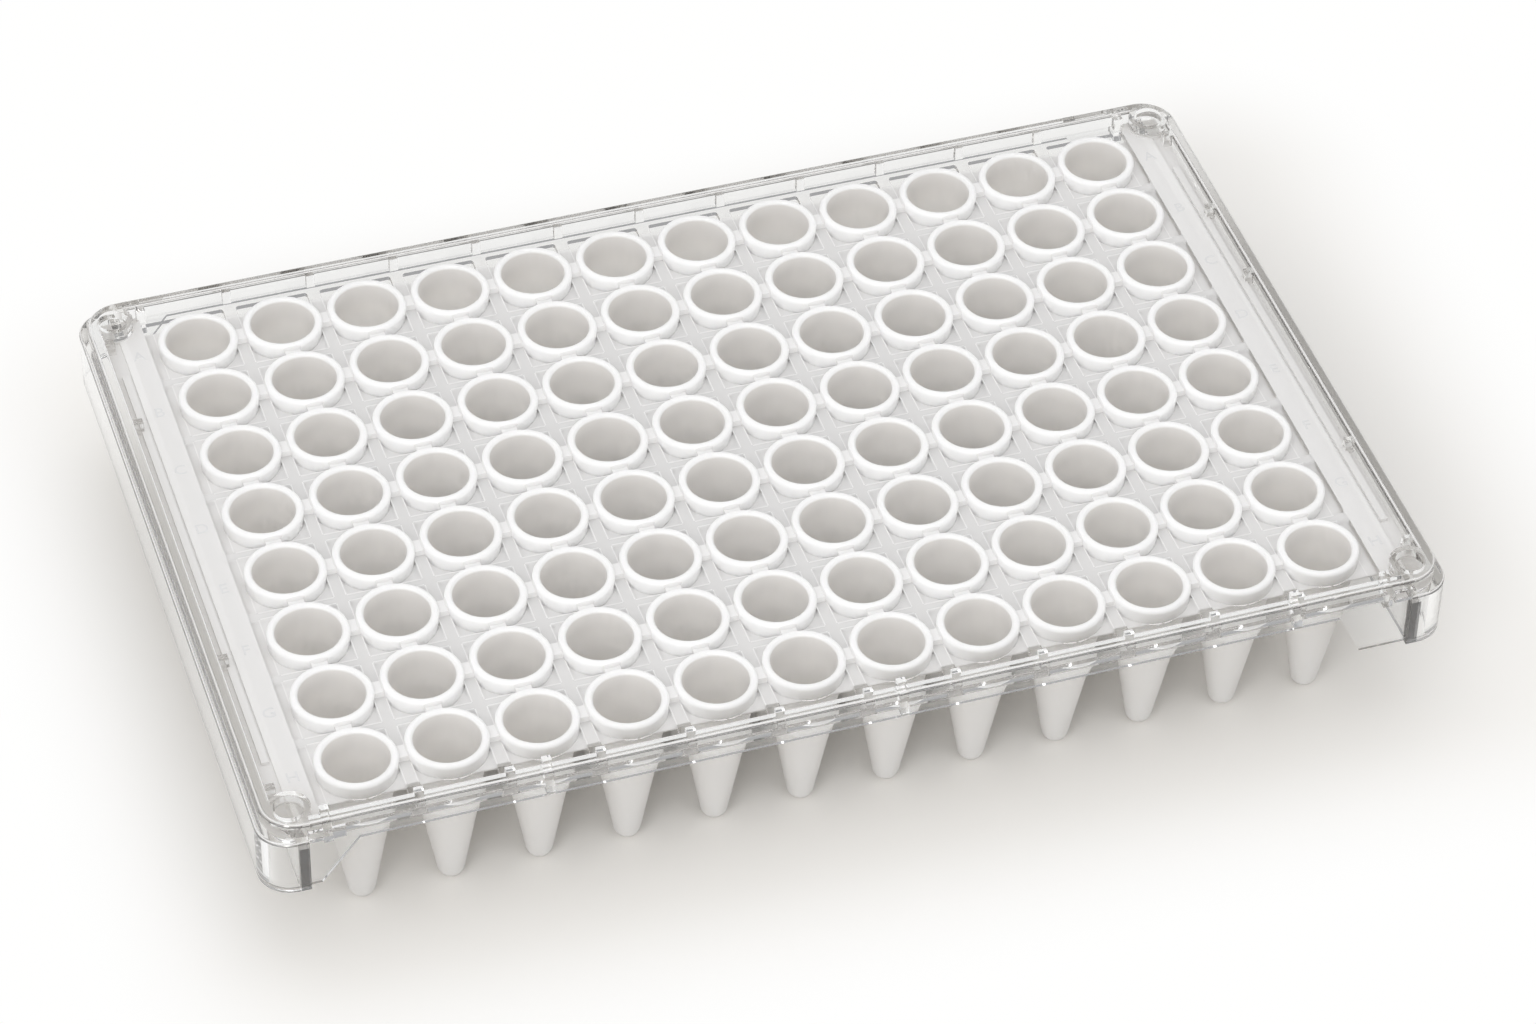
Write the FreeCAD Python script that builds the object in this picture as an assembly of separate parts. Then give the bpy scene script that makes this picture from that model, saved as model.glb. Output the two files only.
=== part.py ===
import FreeCAD, Part
import math
import os

# Well plate with 96 wells: a white moulding of joined tubes, moulded into a clear frame.
# X runs along the long side, Y along the short side, Z up.
# The origin is at the middle of the footprint, level with the tips of the tubes.

# ---- driving dimensions, in millimetres ----

# grid of wells
pitch = 9.0
columns = 12
rows = 8

# one tube, outside: a radius at each depth below the rim
tube_length = 18.8
rim_radius = 4.12
rim_rounding = 0.36
band_foot_radius = 3.95
band_depth = 2.6
collar_radius = 3.72
collar_depth = 3.6
shank_radius = 3.38
shank_depth = 5.2
shank_end_depth = 7.2
step_radius = 3.06
step_depth = 8.0
tip_radius = 1.4
tip_flat_radius = 0.55

# one tube, inside
mouth_radius = 3.34
mouth_bevel = 0.18
bore_radius = 3.0
bore_depth = 7.2
bore_tip_radius = 1.0
floor_thickness = 0.6

# what joins the tubes
bridge_width = 1.6
bridge_depth = 0.6
peg_radius = 0.85
peg_drop = 3.55
peg_bevel = 0.35

# clear frame, outline
end_margin = 10.6
side_margin = 7.6
lip_corner_radius = 3.6
skirt_corner_radius = 3.35
skirt_outset = 0.75

# clear frame, heights from the rim of the tubes
lip_rise = 0.34
deck_depth = 1.25
apron_depth = 2.94
leg_depth = 7.95

# clear frame, thicknesses
lip_thickness = 1.3
deck_thickness = 0.8
skirt_thickness = 1.2
apron_thickness = 0.55
lip_rounding = 0.4
edge_rounding = 0.3

# lattice of ribs between the tubes, round a pocket for each tube with a thin web for its floor
long_rib_width = 1.0
cross_rib_width = 1.35
pocket_corner_radius = 0.3
pocket_end_reach = 4.95
pocket_side_reach = 5.05
web_thickness = 0.35

# short ends: inner wall, label strip, bead between the strip and the lip
inner_wall_inset = 2.8
inner_wall_thickness = 1.0
inner_wall_short = 0.3
strip_inset = 2.95
strip_width = 2.75
strip_rise = 0.25
strip_end_gap = 2.2
bead_inset = 1.95
bead_width = 0.75
bead_rise = 0.4
bead_end_gap = 10.2

# feet of the long sides, measured from the short ends
leg_length = 3.8
left_foot_top = 8.9
left_foot_bottom = 5.05
right_foot_top = 11.1
right_foot_bottom = 8.6

# ledges that carry the skirt's shoulder on past the legs, along the front
ledge_top_depth = 0.25
ledge_foot_depth = 1.5
left_ledge_length = 3.6
right_ledge_length = 1.9

# corner sockets, with the inset of their middles from the outer faces of the lip
socket_inset = 2.75
socket_outer_radius = 2.1
socket_radius = 1.5
socket_depth = 1.1

# ties across the channel between lip and deck, and deeper braces
tie_width = 0.9
tie_reach = 0.55
tie_drop = 0.12
brace_reach = 2.2
corner_brace_inset = 5.9
front_braces = (-32.3, 3.5, 44.6)
left_braces = (-15.0, 20.5)
right_braces = (-18.0, 9.5, 20.5)

# modelling allowances: how far a cutter runs past what it cuts, the smallest corner, and level heights
overcut = 1.0
least_radius = 0.2
level_tolerance = 1e-6

# ---- worked out from the driving dimensions ----

rim_z = tube_length
lip_z = rim_z + lip_rise
deck_z = rim_z - deck_depth
deck_foot_z = deck_z - deck_thickness
apron_z = rim_z - apron_depth
leg_z = rim_z - leg_depth
bridge_z = rim_z - bridge_depth
ledge_z = rim_z - ledge_top_depth
ledge_foot_z = rim_z - ledge_foot_depth
grid_x = (columns - 1) * pitch / 2
grid_y = (rows - 1) * pitch / 2
lip_x = grid_x + end_margin
lip_y = grid_y + side_margin
skirt_x = lip_x + skirt_outset
skirt_y = lip_y + skirt_outset
leg_x = lip_x - leg_length

up = FreeCAD.Vector(0, 0, 1)


def column_xs():
    """The X of each column of wells, from left to right."""
    return [i * pitch - grid_x for i in range(columns)]


def row_ys():
    """The Y of each row of wells, from front to back."""
    return [j * pitch - grid_y for j in range(rows)]


def between(places):
    """The middles between neighbours in a list of places."""
    return [(a + b) / 2 for a, b in zip(places, places[1:])]


def box(x0, x1, y0, y1, z0, z1):
    """A block between two values on each axis."""
    return Part.makeBox(x1 - x0, y1 - y0, z1 - z0, FreeCAD.Vector(x0, y0, z0))


def both_ends(x0, x1, y0, y1, z0, z1):
    """A block at the right end and its mirror image at the left end."""
    return [box(x0, x1, y0, y1, z0, z1), box(-x1, -x0, y0, y1, z0, z1)]


def level_edges(shape, z):
    """The edges of a shape that lie level at height z."""
    return [
        e for e in shape.Edges
        if abs(e.BoundBox.ZMin - z) < level_tolerance and abs(e.BoundBox.ZMax - z) < level_tolerance
    ]


def rounded_block(half_x, half_y, radius, z0, z1, x=0.0, y=0.0):
    """An upright block with a rounded rectangle for its plan."""
    block = box(x - half_x, x + half_x, y - half_y, y + half_y, z0, z1)
    uprights = [e for e in block.Edges if e.BoundBox.ZLength > (z1 - z0) / 2]
    return block.makeFillet(radius, uprights)


def turned(points, degrees=360):
    """A solid of revolution about Z. A point (r, z) ends a straight line, and a pair of points an arc."""
    edges = []
    at = FreeCAD.Vector(points[0][0], 0, points[0][1])
    for step in points[1:] + [points[0]]:
        if isinstance(step[0], tuple):
            middle, end = (FreeCAD.Vector(r, 0, z) for r, z in step)
            edges.append(Part.Arc(at, middle, end).toShape())
        else:
            end = FreeCAD.Vector(step[0], 0, step[1])
            edges.append(Part.makeLine(at, end))
        at = end
    face = Part.Face(Part.Wire(edges))
    return face.revolve(FreeCAD.Vector(0, 0, 0), up, degrees)


def on_circle(radius, r_centre, z_centre, degrees):
    """A point (r, z) on a circle, at an angle from +R towards +Z."""
    a = math.radians(degrees)
    return (r_centre + radius * math.cos(a), z_centre + radius * math.sin(a))


def ball_end(radius, z_centre, side_radius, side_z, flat_radius=0.0):
    """The end of a cone: where its side meets a ball, the ball's middle point, and where the ball stops."""
    across, along = side_radius, side_z - z_centre
    lean = math.degrees(math.atan2(along, across))
    touch = lean - math.degrees(math.acos(radius / math.hypot(across, along)))
    stop = -math.degrees(math.acos(flat_radius / radius))
    start = on_circle(radius, 0, z_centre, touch)
    return start, (on_circle(radius, 0, z_centre, (touch + stop) / 2), on_circle(radius, 0, z_centre, stop))


def tube_outside():
    """One tube with no bore: rim, band, collar, shank, step, cone, and a ball with a small flat under it."""
    r = rim_rounding
    shoulder = rim_radius - r
    tip_centre = math.sqrt(tip_radius ** 2 - tip_flat_radius ** 2)
    start, ball = ball_end(tip_radius, tip_centre, step_radius, rim_z - step_depth, tip_flat_radius)
    return turned([
        (0, rim_z),
        (shoulder, rim_z),
        (on_circle(r, shoulder, rim_z - r, 45), (rim_radius, rim_z - r)),
        (band_foot_radius, rim_z - band_depth),
        (collar_radius, rim_z - collar_depth),
        (shank_radius, rim_z - shank_depth),
        (shank_radius, rim_z - shank_end_depth),
        (step_radius, rim_z - step_depth),
        start,
        ball,
        (0, 0),
    ])


def tube_bore():
    """The space inside one tube, carried on above the rim."""
    floor_centre = floor_thickness + bore_tip_radius
    start, ball = ball_end(bore_tip_radius, floor_centre, bore_radius, rim_z - bore_depth)
    flare = mouth_radius + mouth_bevel
    return turned([
        (0, rim_z + mouth_bevel),
        (flare, rim_z + mouth_bevel),
        (flare, rim_z),
        (mouth_radius, rim_z - mouth_bevel),
        (bore_radius, rim_z - bore_depth),
        start,
        ball,
    ])


def half_bridge():
    """The half of a bridge that belongs to the tube on its left, with the half of the peg under it."""
    half = bridge_width / 2
    bar = box(0, pitch / 2, -half, half, deck_z, bridge_z)
    foot = deck_foot_z - peg_drop
    peg = turned([
        (0, deck_foot_z),
        (peg_radius, deck_foot_z),
        (peg_radius, foot + peg_bevel),
        (peg_radius - peg_bevel, foot),
        (0, foot),
    ], 180)
    peg.rotate(FreeCAD.Vector(0, 0, 0), up, 90)
    return bar, peg.translated(FreeCAD.Vector(pitch / 2, 0, 0))


def turned_about(shape, degrees):
    """A copy of a shape, turned about Z."""
    turned_shape = shape.copy()
    turned_shape.rotate(FreeCAD.Vector(0, 0, 0), up, degrees)
    return turned_shape


def solid_tube(right, back, left, front):
    """One tube before its bore is opened, with half a bridge towards each neighbour that it has."""
    bar, peg = half_bridge()
    joined = []
    for quarter_turns, has_neighbour in enumerate((right, back, left, front)):
        if has_neighbour:
            joined.append(turned_about(bar, 90 * quarter_turns))
            if quarter_turns % 2 == 0:
                joined.append(turned_about(peg, 90 * quarter_turns))
    return tube_outside().multiFuse(joined)


def each_well():
    """The place of each well, and whether it has a neighbour on its right, back, left and front."""
    for i, x in enumerate(column_xs()):
        for j, y in enumerate(row_ys()):
            yield FreeCAD.Vector(x, y, 0), (i < columns - 1, j < rows - 1, i > 0, j > 0)


def tubes():
    """All tubes, solid and with open bores. Neighbours meet face to face in the middle of a bridge."""
    solid_kinds = {neighbours: solid_tube(*neighbours) for neighbours in {n for _, n in each_well()}}
    bore = tube_bore()
    open_kinds = {neighbours: kind.cut(bore) for neighbours, kind in solid_kinds.items()}
    solid = [solid_kinds[n].translated(place) for place, n in each_well()]
    opened = [open_kinds[n].translated(place) for place, n in each_well()]
    return solid, opened


def pocket_spans(places, rib, reach):
    """The two edges of each well's pocket along one axis. The outer pockets reach past the grid."""
    edges = between(places)
    lows = [places[0] - reach] + [e + rib / 2 for e in edges]
    highs = [e - rib / 2 for e in edges] + [places[-1] + reach]
    return list(zip(lows, highs))


def pockets():
    """One pocket in the deck for each tube, down to the web."""
    cuts = []
    for x0, x1 in pocket_spans(column_xs(), cross_rib_width, pocket_end_reach):
        for y0, y1 in pocket_spans(row_ys(), long_rib_width, pocket_side_reach):
            cuts.append(rounded_block(
                (x1 - x0) / 2, (y1 - y0) / 2, pocket_corner_radius,
                deck_foot_z + web_thickness, deck_z + overcut, (x0 + x1) / 2, (y0 + y1) / 2,
            ))
    return Part.makeCompound(cuts)


def ring(half_x, half_y, radius, thickness, z0, z1):
    """An upright wall that follows a rounded rectangle."""
    outer = rounded_block(half_x, half_y, radius, z0, z1)
    inner_radius = max(radius - thickness, least_radius)
    inner_x = half_x - thickness
    inner_y = half_y - thickness
    inner = rounded_block(inner_x, inner_y, inner_radius, z0 - overcut, z1 + overcut)
    return outer.cut(inner)


def lip():
    """The raised wall round the deck, with its two top edges rounded."""
    wall = ring(lip_x, lip_y, lip_corner_radius, lip_thickness, deck_z, lip_z)
    return wall.makeFillet(lip_rounding, level_edges(wall, lip_z))


def deck():
    """The plate that the tubes stand in, with a flange over the skirt that has a rounded shoulder."""
    plate = rounded_block(lip_x, lip_y, lip_corner_radius, deck_foot_z, deck_z)
    flange = rounded_block(skirt_x, skirt_y, skirt_corner_radius, deck_foot_z, deck_z)
    flange = flange.makeFillet(edge_rounding, level_edges(flange, deck_z))
    return plate.fuse(flange.cut(between_legs(deck_foot_z - overcut, deck_z + overcut)))


def between_legs(z0, z1):
    """The space in front of and behind the lip, from leg to leg."""
    front = box(-leg_x, leg_x, -skirt_y - overcut, -lip_y, z0, z1)
    back = box(-leg_x, leg_x, lip_y, skirt_y + overcut, z0, z1)
    return Part.makeCompound([front, back])


def skirt():
    """The proud outer wall: the whole of both short ends and round the corners to the ends of the legs."""
    wall = ring(skirt_x, skirt_y, skirt_corner_radius, skirt_thickness, leg_z, deck_foot_z)
    wall = wall.makeFillet(edge_rounding, level_edges(wall, leg_z))
    y = skirt_y + overcut
    return wall.cut(box(-leg_x, leg_x, -y, y, leg_z - overcut, deck_z + overcut))


def ledges():
    """Short blocks against the front of the lip, beside the legs."""
    y1 = lip_thickness / 2 - lip_y
    return [
        box(-leg_x, left_ledge_length - leg_x, -skirt_y, y1, ledge_foot_z, ledge_z),
        box(leg_x - right_ledge_length, leg_x, -skirt_y, y1, ledge_foot_z, ledge_z),
    ]


def apron(side):
    """The wall under the lip along one long side, low at its feet and raised between them."""
    y0 = side * lip_y
    y1 = side * (lip_y - apron_thickness)
    outline = [
        (-leg_x, deck_z),
        (-leg_x, leg_z),
        (-lip_x + left_foot_bottom, leg_z),
        (-lip_x + left_foot_top, apron_z),
        (lip_x - right_foot_top, apron_z),
        (lip_x - right_foot_bottom, leg_z),
        (leg_x, leg_z),
        (leg_x, deck_z),
        (-leg_x, deck_z),
    ]
    wire = Part.makePolygon([FreeCAD.Vector(x, y0, z) for x, z in outline])
    return Part.Face(wire).extrude(FreeCAD.Vector(0, y1 - y0, 0))


def inner_walls():
    """An upright wall inside each short end, from one long side to the other."""
    x1 = lip_x - inner_wall_inset
    y = skirt_y - skirt_thickness / 2
    return both_ends(x1 - inner_wall_thickness, x1, -y, y, leg_z + inner_wall_short, deck_z)


def label_strips():
    """A low step on the deck beside each end column."""
    x1 = lip_x - strip_inset
    y = lip_y - strip_end_gap
    return both_ends(x1 - strip_width, x1, -y, y, deck_z, deck_z + strip_rise)


def beads():
    """A low bar on the deck between each label strip and the lip."""
    x1 = lip_x - bead_inset
    y = lip_y - bead_end_gap
    return both_ends(x1 - bead_width, x1, -y, y, deck_z, deck_z + bead_rise)


def sockets():
    """A round shallow cup inside each corner of the lip."""
    x = lip_x - socket_inset
    y = lip_y - socket_inset
    cup_foot = FreeCAD.Vector(0, 0, deck_z)
    bore_foot = FreeCAD.Vector(0, 0, lip_z - socket_depth)
    cup = Part.makeCylinder(socket_outer_radius, lip_z - deck_z, cup_foot)
    bore = Part.makeCylinder(socket_radius, socket_depth + overcut, bore_foot)
    places = [FreeCAD.Vector(sx * x, sy * y, 0) for sx in (-1, 1) for sy in (-1, 1)]
    return [cup.translated(p) for p in places], [bore.translated(p) for p in places]


def ties():
    """Small ribs against the inner face of the lip, one at each rib of the lattice."""
    half = tie_width / 2
    z1 = lip_z - tie_drop
    y1 = lip_y - lip_thickness / 2
    y0 = lip_y - lip_thickness - tie_reach
    out = []
    for x in between(column_xs()):
        out.append(box(x - half, x + half, y0, y1, deck_z, z1))
        out.append(box(x - half, x + half, -y1, -y0, deck_z, z1))
    return out


def braces():
    """Deeper ribs beside the corner sockets and where the frame was gated and pushed out of its mould."""
    half = tie_width / 2
    z1 = lip_z - tie_drop
    corner_x = lip_x - corner_brace_inset
    corner_y = lip_y - corner_brace_inset
    y1 = lip_y - apron_thickness / 2
    y0 = lip_y - brace_reach
    out = [box(x - half, x + half, -y1, -y0, apron_z, z1) for x in (-corner_x, *front_braces, corner_x)]
    out += [box(x - half, x + half, y0, y1, apron_z, z1) for x in (-corner_x, corner_x)]
    x1 = lip_x - lip_thickness / 2
    x0 = lip_x - brace_reach
    out += [box(-x1, -x0, y - half, y + half, deck_z, z1) for y in (-corner_y, *left_braces, corner_y)]
    out += [box(x0, x1, y - half, y + half, deck_z, z1) for y in (-corner_y, *right_braces, corner_y)]
    return out


def clear_frame(solid_tubes):
    """The frame, with the deck opened for the tubes that are moulded through it."""
    cups, bores = sockets()
    pieces = [lip(), skirt(), apron(-1), apron(1)]
    pieces += ledges() + inner_walls() + label_strips() + beads() + cups + ties() + braces()
    body = deck().multiFuse(pieces)
    body = body.cut(Part.makeCompound(bores)).cut(pockets())
    return body.cut(solid_tubes)


def main():
    """Write one STEP file for each moulding."""
    os.makedirs("parts", exist_ok=True)
    solid, opened = tubes()
    Part.makeCompound(opened).exportStep("parts/well_moulding.step")
    clear_frame(solid).exportStep("parts/clear_frame.step")


main()
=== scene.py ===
import math

import bmesh
import bpy
from mathutils import Matrix, Vector


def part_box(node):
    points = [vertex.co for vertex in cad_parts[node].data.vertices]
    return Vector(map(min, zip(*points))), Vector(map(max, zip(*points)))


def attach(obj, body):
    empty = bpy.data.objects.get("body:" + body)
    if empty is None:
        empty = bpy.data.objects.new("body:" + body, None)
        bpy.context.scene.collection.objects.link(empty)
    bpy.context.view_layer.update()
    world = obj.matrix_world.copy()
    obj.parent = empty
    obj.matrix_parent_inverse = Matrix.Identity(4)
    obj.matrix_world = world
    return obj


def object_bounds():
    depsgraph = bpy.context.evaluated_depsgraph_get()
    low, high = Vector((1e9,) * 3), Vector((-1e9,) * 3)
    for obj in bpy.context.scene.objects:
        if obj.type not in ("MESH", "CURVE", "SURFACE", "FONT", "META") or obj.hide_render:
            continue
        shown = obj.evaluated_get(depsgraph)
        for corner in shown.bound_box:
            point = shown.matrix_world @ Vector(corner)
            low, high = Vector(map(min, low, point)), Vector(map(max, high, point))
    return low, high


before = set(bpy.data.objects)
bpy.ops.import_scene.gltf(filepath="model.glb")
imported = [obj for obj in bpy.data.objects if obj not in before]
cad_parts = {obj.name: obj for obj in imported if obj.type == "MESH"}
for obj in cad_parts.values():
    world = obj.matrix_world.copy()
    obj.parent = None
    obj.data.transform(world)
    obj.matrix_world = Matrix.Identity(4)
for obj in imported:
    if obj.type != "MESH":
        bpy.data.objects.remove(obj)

mm = 0.001
perMetre = 1 / mm       # turns metres into millimetres
pitch = 9.0 * mm        # from well to well
scene = bpy.context.scene
scene.view_settings.view_transform = "Standard"
# light goes far inside clear walls and between white tubes
scene.cycles.max_bounces = 16
scene.cycles.diffuse_bounces = 12
scene.cycles.glossy_bounces = 12
scene.cycles.transmission_bounces = 12
scene.cycles.transparent_max_bounces = 16
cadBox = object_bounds()
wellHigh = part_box("well_moulding")[1]
print("frame loaded")


class Wire:
    # the value on one output socket, so that shader maths reads as plain sums
    def __init__(self, shader, socket):
        self.shader = shader
        self.socket = socket

    def other(self, name):
        return Wire(self.shader, self.socket.node.outputs[name])

    def maths(self, operation, *values):
        return self.shader.node("ShaderNodeMath", {"operation": operation}, dict(enumerate(values)))

    def __add__(self, value):
        return self.maths("ADD", self, value)

    def __radd__(self, value):
        return self.maths("ADD", value, self)

    def __sub__(self, value):
        return self.maths("SUBTRACT", self, value)

    def __rsub__(self, value):
        return self.maths("SUBTRACT", value, self)

    def __mul__(self, value):
        return self.maths("MULTIPLY", self, value)

    def __rmul__(self, value):
        return self.maths("MULTIPLY", value, self)

    def __gt__(self, value):
        return self.maths("GREATER_THAN", self, value)

    def __lt__(self, value):
        return self.maths("LESS_THAN", self, value)

    def __abs__(self):
        return self.maths("ABSOLUTE", self)

    def atMost(self, value):
        return self.maths("MINIMUM", self, value)

    def atLeast(self, value):
        return self.maths("MAXIMUM", self, value)

    def ramp(self, low, high):
        # 0 below low, 1 above high, and a smooth rise between them
        settings = {"clamp": True, "interpolation_type": "SMOOTHSTEP"}
        return self.shader.node("ShaderNodeMapRange", settings, {0: self, 1: low, 2: high, 3: 0.0, 4: 1.0})


class Shader:
    def __init__(self, owner):
        owner.use_nodes = True
        self.tree = owner.node_tree
        self.tree.nodes.clear()

    def node(self, kind, settings, inputs, out=0):
        made = self.tree.nodes.new(kind)
        for name, value in settings.items():
            setattr(made, name, value)
        for name, value in inputs.items():
            if isinstance(value, Wire):
                self.tree.links.new(value.socket, made.inputs[name])
            else:
                made.inputs[name].default_value = value
        return Wire(self, made.outputs[out]) if len(made.outputs) else made

    def blend(self, amount, first, second):
        # a Mix Shader: first where amount is 0, second where it is 1
        return self.node("ShaderNodeMixShader", {}, {0: amount, 1: first, 2: second})

    def shade(self, amount, first, second):
        # a colour: first where amount is 0, second where it is 1
        return self.node("ShaderNodeMix", {"data_type": "RGBA"}, {0: amount, 6: first, 7: second}, 2)

    def parts(self, socket):
        # X, Y and Z of one of the vectors of the point being shaded, such as its Position or Normal
        vector = self.node("ShaderNodeNewGeometry", {}, {}, socket)
        split = self.node("ShaderNodeSeparateXYZ", {}, {0: vector})
        return [split.other(axis) for axis in "XYZ"]


def newMaterial(name):
    material = bpy.data.materials.new(name)
    return material, Shader(material)


def dress(piece, material):
    piece.data.materials.clear()
    piece.data.materials.append(material)


# the white tubes: satin polypropylene that lets some light through its thin walls
polypropylene = {
    "color": (0.985, 0.983, 0.98, 1),
    # painted shade in the bores: grey just below the rims, then a warmer near-white deeper down
    "boreShade": (0.77, 0.757, 0.743, 1),
    "deepBoreShade": (0.985, 0.972, 0.952, 1),
    "boreRadius": 3.36,             # mm
    "boreShadeFade": (0.05, 0.5),        # mm below the rims, where the bores' painted shade begins and is full
    "deepBoreShadeFade": (1.5, 5.5),         # mm below the rims, where the painted shade gives way to the warmer deep one
    "roughness": 0.38,
    "roughnessSpread": 0.1,         # from the smoothest spot to the roughest
    "ior": 1.49,
    "glow": 0.85,                   # share of the light that goes through the walls
    "glowRadius": 1.2,              # mm
    "glowTint": (1.0, 1.0, 0.97),   # how far each colour goes, as a share of that radius
    "bridgeShadeReach": 0.5,             # mm each way from the middle of a bridge, where painted shade darkens it
    "bridgeShade": (0.87, 0.865, 0.86, 1),
    "grain": 0.35,                  # mm, size of the mould's texture
    "grainDetail": 2.0,
    "grainDepth": 0.004,            # mm
    "grainStrength": 0.25,
}


def whitePlastic():
    kit = polypropylene
    material, shader = newMaterial("whitePolypropylene")
    spot = shader.node("ShaderNodeNewGeometry", {}, {}, "Position")
    grain = shader.node("ShaderNodeTexNoise", {}, {
        "Vector": spot,
        "Scale": 1 / (kit["grain"] * mm),
        "Detail": kit["grainDetail"],
    })
    bump = shader.node("ShaderNodeBump", {}, {
        "Strength": kit["grainStrength"],
        "Distance": kit["grainDepth"] * mm,
        "Height": grain,
    })
    x, y, z = shader.parts("Position")
    fromBridge = [way.maths("PINGPONG", way, pitch / 2) for way in (x, y)]
    fromAxis = [pitch / 2 - gap for gap in fromBridge]
    squared = fromAxis[0] * fromAxis[0] + fromAxis[1] * fromAxis[1]
    depth = (wellHigh[2] - z) * perMetre
    # painted shade: inside the bores the colour turns grey below the rims, then warmer near-white deeper
    boreShadeMask = (squared < (kit["boreRadius"] * mm) ** 2) * depth.ramp(*kit["boreShadeFade"])
    boreShadeColor = shader.shade(depth.ramp(*kit["deepBoreShadeFade"]), kit["boreShade"], kit["deepBoreShade"])
    common = {
        "Roughness": grain * kit["roughnessSpread"] + (kit["roughness"] - kit["roughnessSpread"] / 2),
        "IOR": kit["ior"],
        "Normal": bump,
    }
    wall = shader.node("ShaderNodeBsdfPrincipled", {"subsurface_method": "RANDOM_WALK"}, {
        "Base Color": shader.shade(boreShadeMask, kit["color"], boreShadeColor),
        "Subsurface Weight": kit["glow"],
        "Subsurface Radius": kit["glowTint"],
        "Subsurface Scale": kit["glowRadius"] * mm,
        **common,
    })
    # painted shade: the bridges between the rims get a darker colour
    bridge = shader.node("ShaderNodeBsdfPrincipled", {}, {"Base Color": kit["bridgeShade"], **common})
    between = (abs(x) < wellHigh[0] - pitch / 4) * (abs(y) < wellHigh[1] - pitch / 4)
    bridgeShadeMask = (fromBridge[0].atMost(fromBridge[1]) < kit["bridgeShadeReach"] * mm) * between
    surface = shader.blend(bridgeShadeMask, wall, bridge)
    shader.node("ShaderNodeOutputMaterial", {}, {"Surface": surface})
    return material


# the frame: clear polycarbonate
polycarbonate = {
    "color": (0.985, 0.99, 0.992, 1),
    "edgeShade": (0.12, 0.12, 0.122, 1),    # painted shade, low on an edge's rounding and on the legs' end faces
    "edgeShadeLean": (0.08, 0.2, 0.35, 0.5),     # heights of the unit normal: it begins, is full, wanes, ends
    "paintedGlint": 0.85,                          # share of painted white highlight high on the rounding
    "paintedGlintLean": (0.64, 0.73, 0.88, 0.94),  # the same four heights for it
    "legEndShade": (56.25, 57.3),                # mm from the middle along X, the last of each leg, whose end faces get painted shade
    "legFront": 39.0,                       # mm from the middle along Y
    "ior": 1.56,
    "roughness": 0.02,
    "shade": (0.7, 0.685, 0.665, 1),        # what is left of the light that crosses one wall
    "mist": (0.93, 0.925, 0.92, 1),         # colour of the fine texture on the deck
    "deckMist": 0.86,                       # its share on the end strips
    "ribMist": 0.78,                        # its share on the ribs
    "webMist": 0.9,                         # its share on the pockets' floors
    "ribHalf": (0.675, 0.5),                # mm, half the width of the ribs along Y, and of those along X
    "ribGlintWidth": 0.14,                        # mm, width of the painted highlight along each of a rib's edges
    "wallLean": 0.5,                        # below this height of the normal, the lattice's walls are mirrors
    "wallColor": (0.99, 0.99, 0.99, 1),
    "wallRoughness": 0.15,
    "mistThrough": 0.15,                    # share of the texture's light that comes out below
    "latticeReach": (54.45, 35.3),          # mm, where the fine texture between the tubes ends
    "deckReach": (58.75, 37.75),            # mm, where the deck meets the lip
    "deckTop": 18.0,                        # mm above the tips of the tubes, as are the next two
    "webTop": 17.3,
    "deckFoot": 16.7,
    "lastDepth": 10.0,                      # after so many turns inside the walls, light goes straight on
}


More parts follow.
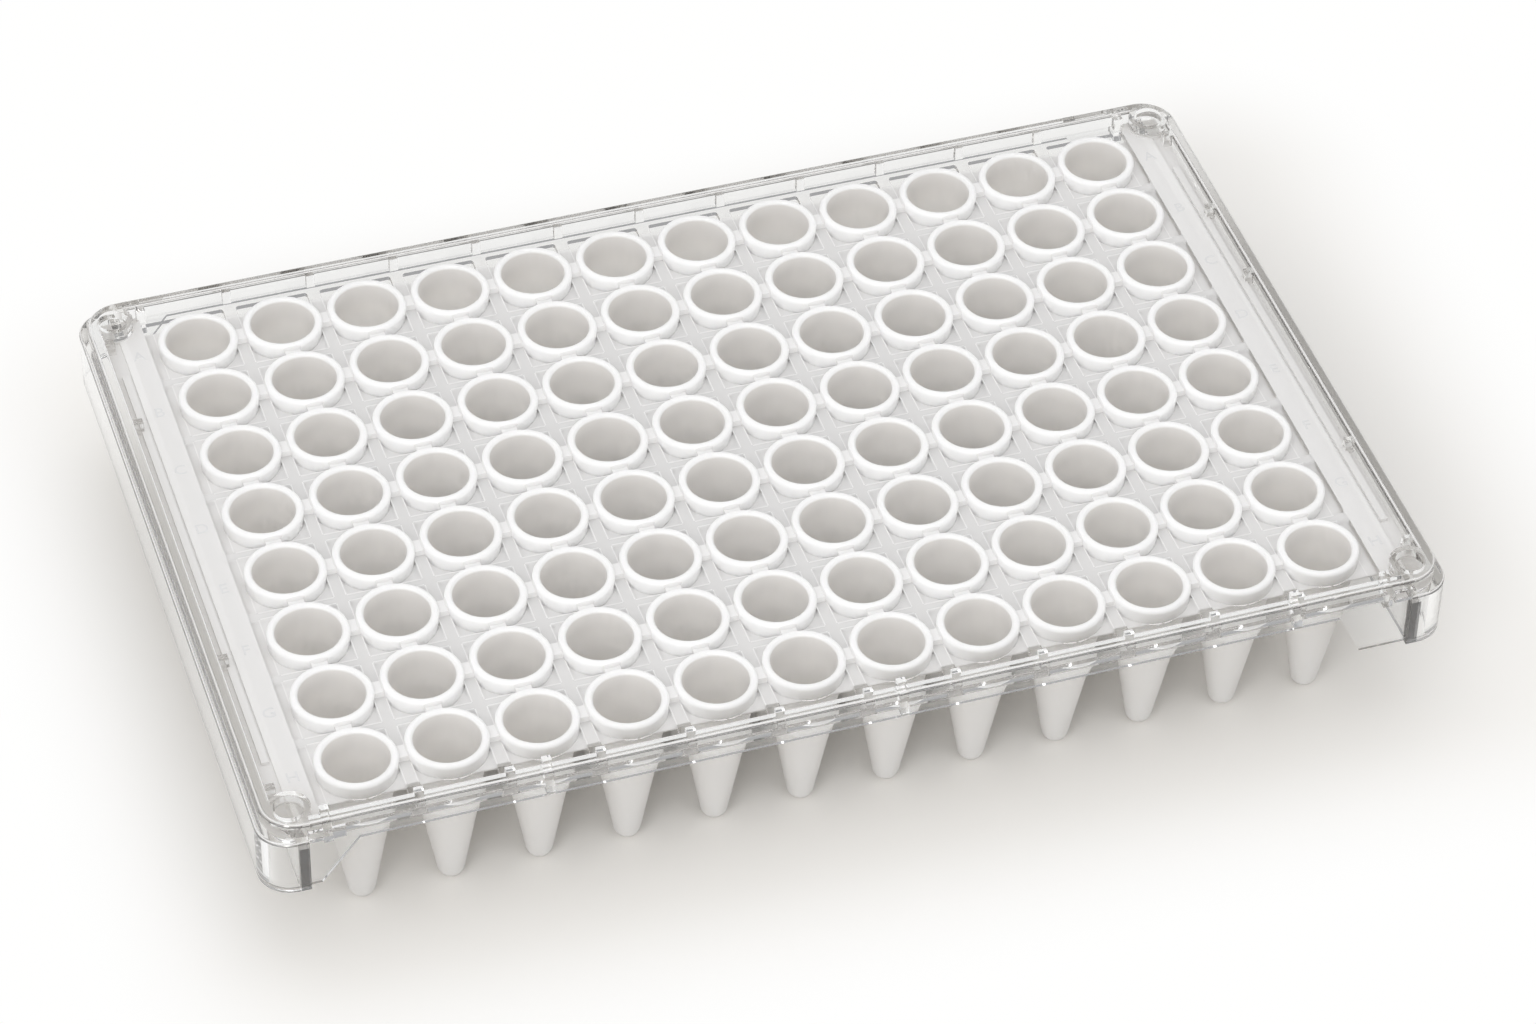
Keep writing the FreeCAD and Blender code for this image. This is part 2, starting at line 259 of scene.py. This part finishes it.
def clearPlastic():
    kit = polycarbonate
    material, shader = newMaterial("clearPolycarbonate")
    x, y, z = (metres * perMetre for metres in shader.parts("Position"))
    upward = abs(shader.parts("Normal")[2])
    edgeShadeMask, paintedGlint = (
        upward.ramp(*lean[:2]) * (1.0 - upward.ramp(*lean[2:]))
        for lean in (kit["edgeShadeLean"], kit["paintedGlintLean"])
    )
    legStart, legStop = kit["legEndShade"]
    legEndShade = (abs(x) > legStart) * (abs(x) < legStop) * (abs(y) > kit["legFront"]) * (z < kit["deckFoot"])
    # painted shade on the edges' roundings and the legs' end faces
    color = shader.shade(edgeShadeMask.atLeast(legEndShade), kit["color"], kit["edgeShade"])
    glass = shader.node("ShaderNodeBsdfPrincipled", {}, {
        "Base Color": color,
        "Roughness": kit["roughness"],
        "IOR": kit["ior"],
        "Transmission Weight": 1.0,
    })
    latticeX, latticeY = kit["latticeReach"]
    deckX, deckY = kit["deckReach"]
    onDeck = (z < kit["deckTop"]) * (z > kit["deckFoot"])
    inLattice = (abs(x) < latticeX) * (abs(y) < latticeY)
    inStrip = (abs(x) > latticeX) * (abs(x) < deckX) * (abs(y) < deckY)
    # mm to the middle of the nearest rib
    across, along = (way.maths("PINGPONG", way, pitch / 2 * perMetre) for way in (x, y))
    acrossHalf, alongHalf = kit["ribHalf"]
    # painted highlights: white mist in thin lines along the ribs' edges
    ribGlints = (across > acrossHalf - kit["ribGlintWidth"]) * (across < acrossHalf) * (along > alongHalf)
    ribGlints = ribGlints + (along > alongHalf - kit["ribGlintWidth"]) * (along < alongHalf) * (across > acrossHalf)
    latticeMist = (z < kit["webTop"]) * (kit["webMist"] - kit["ribMist"]) + kit["ribMist"]
    latticeMist = latticeMist.atLeast(ribGlints)
    mist = onDeck * (inLattice * latticeMist + inStrip * kit["deckMist"])
    # painted highlight: white mist high on the edges' roundings
    mist = mist.atLeast(paintedGlint * kit["paintedGlint"])
    haze = shader.node("ShaderNodeBsdfDiffuse", {}, {"Color": kit["mist"]})
    scatter = shader.node("ShaderNodeBsdfTranslucent", {}, {"Color": kit["mist"]})
    cloud = shader.blend(kit["mistThrough"], haze, scatter)
    through = shader.node("ShaderNodeBsdfTransparent", {}, {"Color": kit["shade"]})
    shadowRay = shader.node("ShaderNodeLightPath", {}, {}, "Is Shadow Ray")
    tired = shadowRay.other("Ray Depth") > kit["lastDepth"]
    straight = shadowRay.atLeast(shadowRay.other("Is Diffuse Ray")).atLeast(tired)
    clear = shader.blend(straight, glass, through)
    mirror = shader.node("ShaderNodeBsdfPrincipled", {}, {
        "Base Color": kit["wallColor"],
        "Roughness": kit["wallRoughness"],
        "Metallic": 1.0,
    })
    walls = onDeck * inLattice * (upward < kit["wallLean"])
    surface = shader.blend(walls, shader.blend(mist, clear, cloud), mirror)
    shader.node("ShaderNodeOutputMaterial", {}, {"Surface": surface})
    return material


dress(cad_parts["well_moulding"], whitePlastic())
dress(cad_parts["clear_frame"], clearPlastic())
print("plastics done")


# faint row letters, raised on the strips at both ends, painted light grey as their shade
rowLetters = {
    "letters": "HGFEDCBA",  # from front to back
    "across": 55.75 * mm,   # from the middle of the plate
    "face": 17.8 * mm,      # the top of the strips
    "height": 1.9 * mm,
    "relief": 0.05 * mm,
    "curveSteps": 4,
    # painted shade: the letters are a light grey, darker than the strip
    "color": (0.76, 0.76, 0.765, 1),
    "roughness": 0.25,
}


def letterMesh(letter):
    curve = bpy.data.curves.new(letter, "FONT")
    curve.body = letter
    curve.size = rowLetters["height"]
    curve.extrude = rowLetters["relief"] / 2
    curve.align_x = "CENTER"
    curve.align_y = "CENTER"
    curve.resolution_u = rowLetters["curveSteps"]
    holder = bpy.data.objects.new(letter, curve)
    mesh = bpy.data.meshes.new_from_object(holder)
    bpy.data.objects.remove(holder)
    return mesh


def makeRowLetters():
    kit = rowLetters
    solid = bmesh.new()
    for row, letter in enumerate(kit["letters"]):
        mesh = letterMesh(letter)
        for side in (-1, 1):
            y = (row - (len(kit["letters"]) - 1) / 2) * pitch
            known = len(solid.verts)
            solid.from_mesh(mesh)
            solid.verts.ensure_lookup_table()
            bmesh.ops.translate(solid, verts=solid.verts[known:], vec=(side * kit["across"], y, kit["face"]))
    mesh = bpy.data.meshes.new("row_letters")
    solid.to_mesh(mesh)
    solid.free()
    letters = bpy.data.objects.new("row_letters", mesh)
    scene.collection.objects.link(letters)
    material, shader = newMaterial("shadedRaisedLetters")
    surface = shader.node("ShaderNodeBsdfPrincipled", {}, {
        "Base Color": kit["color"],
        "Roughness": kit["roughness"],
    })
    shader.node("ShaderNodeOutputMaterial", {}, {"Surface": surface})
    mesh.materials.append(material)
    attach(letters, "root")


makeRowLetters()
print("row letters done")


# the room: a floor with a painted shadow, darker and warmer near the plate and white further out, a white
# surround and two soft lights
# painted dark reflection: reflections and clear plastic alone show the room dark near the horizon, so that
# clear edges stand out
studio = {
    "floorSize": 6.0,                           # m
    "nearFloorShade": (0.945, 0.932, 0.908, 1),     # painted shade: darker and warmer, as seen near the plate
    "whiteColor": (1.0, 1.0, 0.995, 1),         # as seen further out
    "shadowShift": (8.0, 4.0),                  # mm, from the plate's middle to the painted shadow's
    "shadowFade": (4.0, 25.0),                  # mm beyond the outline that the shift gives
    "bounceColor": (0.49, 0.474, 0.45, 1),      # as light that it throws back
    "horizonColor": (0.985, 0.98, 0.97, 1),
    "zenithColor": (0.985, 0.985, 0.99, 1),
    "ambient": 0.81,                            # strength of the light from all round
    "openColor": (1, 1, 1, 1),                  # what is seen above the dark, and all round the plate
    "reflectedDarkColor": (0.37, 0.37, 0.375, 1),        # painted dark reflection: what the clear plastic shows of the room near the horizon
    "reflectedDarkFoot": 0.12,                           # m from the middle, where the floor begins to darken in it
    "reflectedDarkReach": 0.5,                           # m, where it is fully dark
    "reflectedDarkTop": (0.7, 0.92),                     # heights of a unit ray, where the dark ends
    "softboxes": {      # width in m, power in W, place in m, colour
        "above": (0.55, 0.5, (0.0, 0.04, 0.6), (0.98, 0.99, 1.0)),
        "front": (0.6, 1.95, (-0.42, -0.6, 0.5), (1.0, 0.995, 0.985)),
    },
}


def rayKinds(shader):
    # 1 for what the camera sees straight, and 1 for what it sees in a reflection or through clear plastic
    camera = shader.node("ShaderNodeLightPath", {}, {}, "Is Camera Ray")
    return camera, camera.other("Is Glossy Ray").atLeast(camera.other("Is Transmission Ray"))


def makeFloor():
    kit = studio
    half = kit["floorSize"] / 2
    mesh = bpy.data.meshes.new("floor")
    corners = [(-half, -half, 0), (half, -half, 0), (half, half, 0), (-half, half, 0)]
    mesh.from_pydata(corners, [], [(0, 1, 2, 3)])
    floor = bpy.data.objects.new("floor", mesh)
    scene.collection.objects.link(floor)
    floor.location.z = cadBox[0][2]
    material, shader = newMaterial("paleFloor")
    camera, mirrored = rayKinds(shader)
    spot = shader.node("ShaderNodeNewGeometry", {}, {}, "Position")
    distance = shader.node("ShaderNodeVectorMath", {"operation": "LENGTH"}, {0: spot}, "Value")
    # painted shadow: the floor seen is darker and warmer near a shifted outline of the plate, and white
    # further out
    ways = zip(shader.parts("Position"), kit["shadowShift"], cadBox[1])
    gaps = [(abs(way - shift * mm) - reach).atLeast(0.0) for way, shift, reach in ways]
    beyond = shader.node("ShaderNodeCombineXYZ", {}, dict(enumerate(gaps)))
    gap = shader.node("ShaderNodeVectorMath", {"operation": "LENGTH"}, {0: beyond}, "Value")
    near = shader.node("ShaderNodeBsdfDiffuse", {}, {"Color": kit["nearFloorShade"]})
    white = shader.node("ShaderNodeEmission", {}, {"Color": kit["whiteColor"], "Strength": 1.0})
    seen = shader.blend(gap.ramp(*(edge * mm for edge in kit["shadowFade"])), near, white)
    bounce = shader.node("ShaderNodeBsdfDiffuse", {}, {"Color": kit["bounceColor"]})
    # painted dark reflection: reflections see the floor darker further out
    reflectedDark = shader.node("ShaderNodeEmission", {}, {"Color": kit["reflectedDarkColor"], "Strength": 1.0})
    both = shader.blend(camera.atLeast(mirrored), bounce, seen)
    dark = mirrored * (1.0 - camera) * distance.ramp(kit["reflectedDarkFoot"], kit["reflectedDarkReach"])
    shader.node("ShaderNodeOutputMaterial", {}, {"Surface": shader.blend(dark, both, reflectedDark)})
    mesh.materials.append(material)


def makeWorld():
    kit = studio
    world = bpy.data.worlds.new("studio")
    scene.world = world
    shader = Shader(world)
    direction = shader.node("ShaderNodeTexCoord", {}, {}, "Generated")
    height = shader.node("ShaderNodeSeparateXYZ", {}, {0: direction}, "Z")
    sky = shader.shade(height.atLeast(0.0), kit["horizonColor"], kit["zenithColor"])
    light = shader.node("ShaderNodeBackground", {}, {"Color": sky, "Strength": kit["ambient"]})
    white = shader.node("ShaderNodeBackground", {}, {"Color": kit["openColor"], "Strength": 1.0})
    # painted dark reflection near the horizon, for reflections and clear plastic alone
    reflectedDark = shader.node("ShaderNodeBackground", {}, {"Color": kit["reflectedDarkColor"], "Strength": 1.0})
    camera, mirrored = rayKinds(shader)
    above = height.ramp(*kit["reflectedDarkTop"])
    shown = shader.blend(above.atLeast(camera), reflectedDark, white)
    surface = shader.blend(camera.atLeast(mirrored), light, shown)
    shader.node("ShaderNodeOutputWorld", {}, {"Surface": surface})


def makeLamps():
    for name, (width, power, place, color) in studio["softboxes"].items():
        lamp = bpy.data.lights.new(name, "AREA")
        lamp.shape = "DISK"
        lamp.size = width
        lamp.energy = power
        lamp.color = color
        holder = bpy.data.objects.new(name, lamp)
        scene.collection.objects.link(holder)
        holder.location = place
        holder.rotation_euler = (-Vector(place)).to_track_quat("-Z", "Y").to_euler()


makeFloor()
makeWorld()
makeLamps()
print("studio done")


# the camera: high over the front left corner, a long lens, hardly any roll
view = {
    "azimuth": -19.07,      # degrees, as are the next two
    "elevation": 43.22,
    "roll": 1.39,
    "distance": 0.5491,     # m
    "target": (-1.37 * mm, -10.68 * mm, wellHigh[2]),
    "lens": 128.71,         # mm
    "sensor": 36.0,         # mm
    "nearest": 0.01,        # m
}


def makeCamera():
    kit = view
    azimuth, elevation, roll = (math.radians(kit[name]) for name in ("azimuth", "elevation", "roll"))
    back = Vector((
        math.sin(azimuth) * math.cos(elevation),
        -math.cos(azimuth) * math.cos(elevation),
        math.sin(elevation),
    ))
    across = (-back).cross(Vector((0, 0, 1))).normalized()
    upright = back.cross(across)
    right = across * math.cos(roll) + upright * math.sin(roll)
    upward = upright * math.cos(roll) - across * math.sin(roll)
    lens = bpy.data.cameras.new("camera")
    lens.lens = kit["lens"]
    lens.sensor_width = kit["sensor"]
    lens.clip_start = kit["nearest"]
    camera = bpy.data.objects.new("camera", lens)
    scene.collection.objects.link(camera)
    turned = Matrix((right, upward, back)).transposed().to_4x4()
    camera.matrix_world = Matrix.Translation(Vector(kit["target"]) + back * kit["distance"]) @ turned
    scene.camera = camera


makeCamera()
print("camera done")
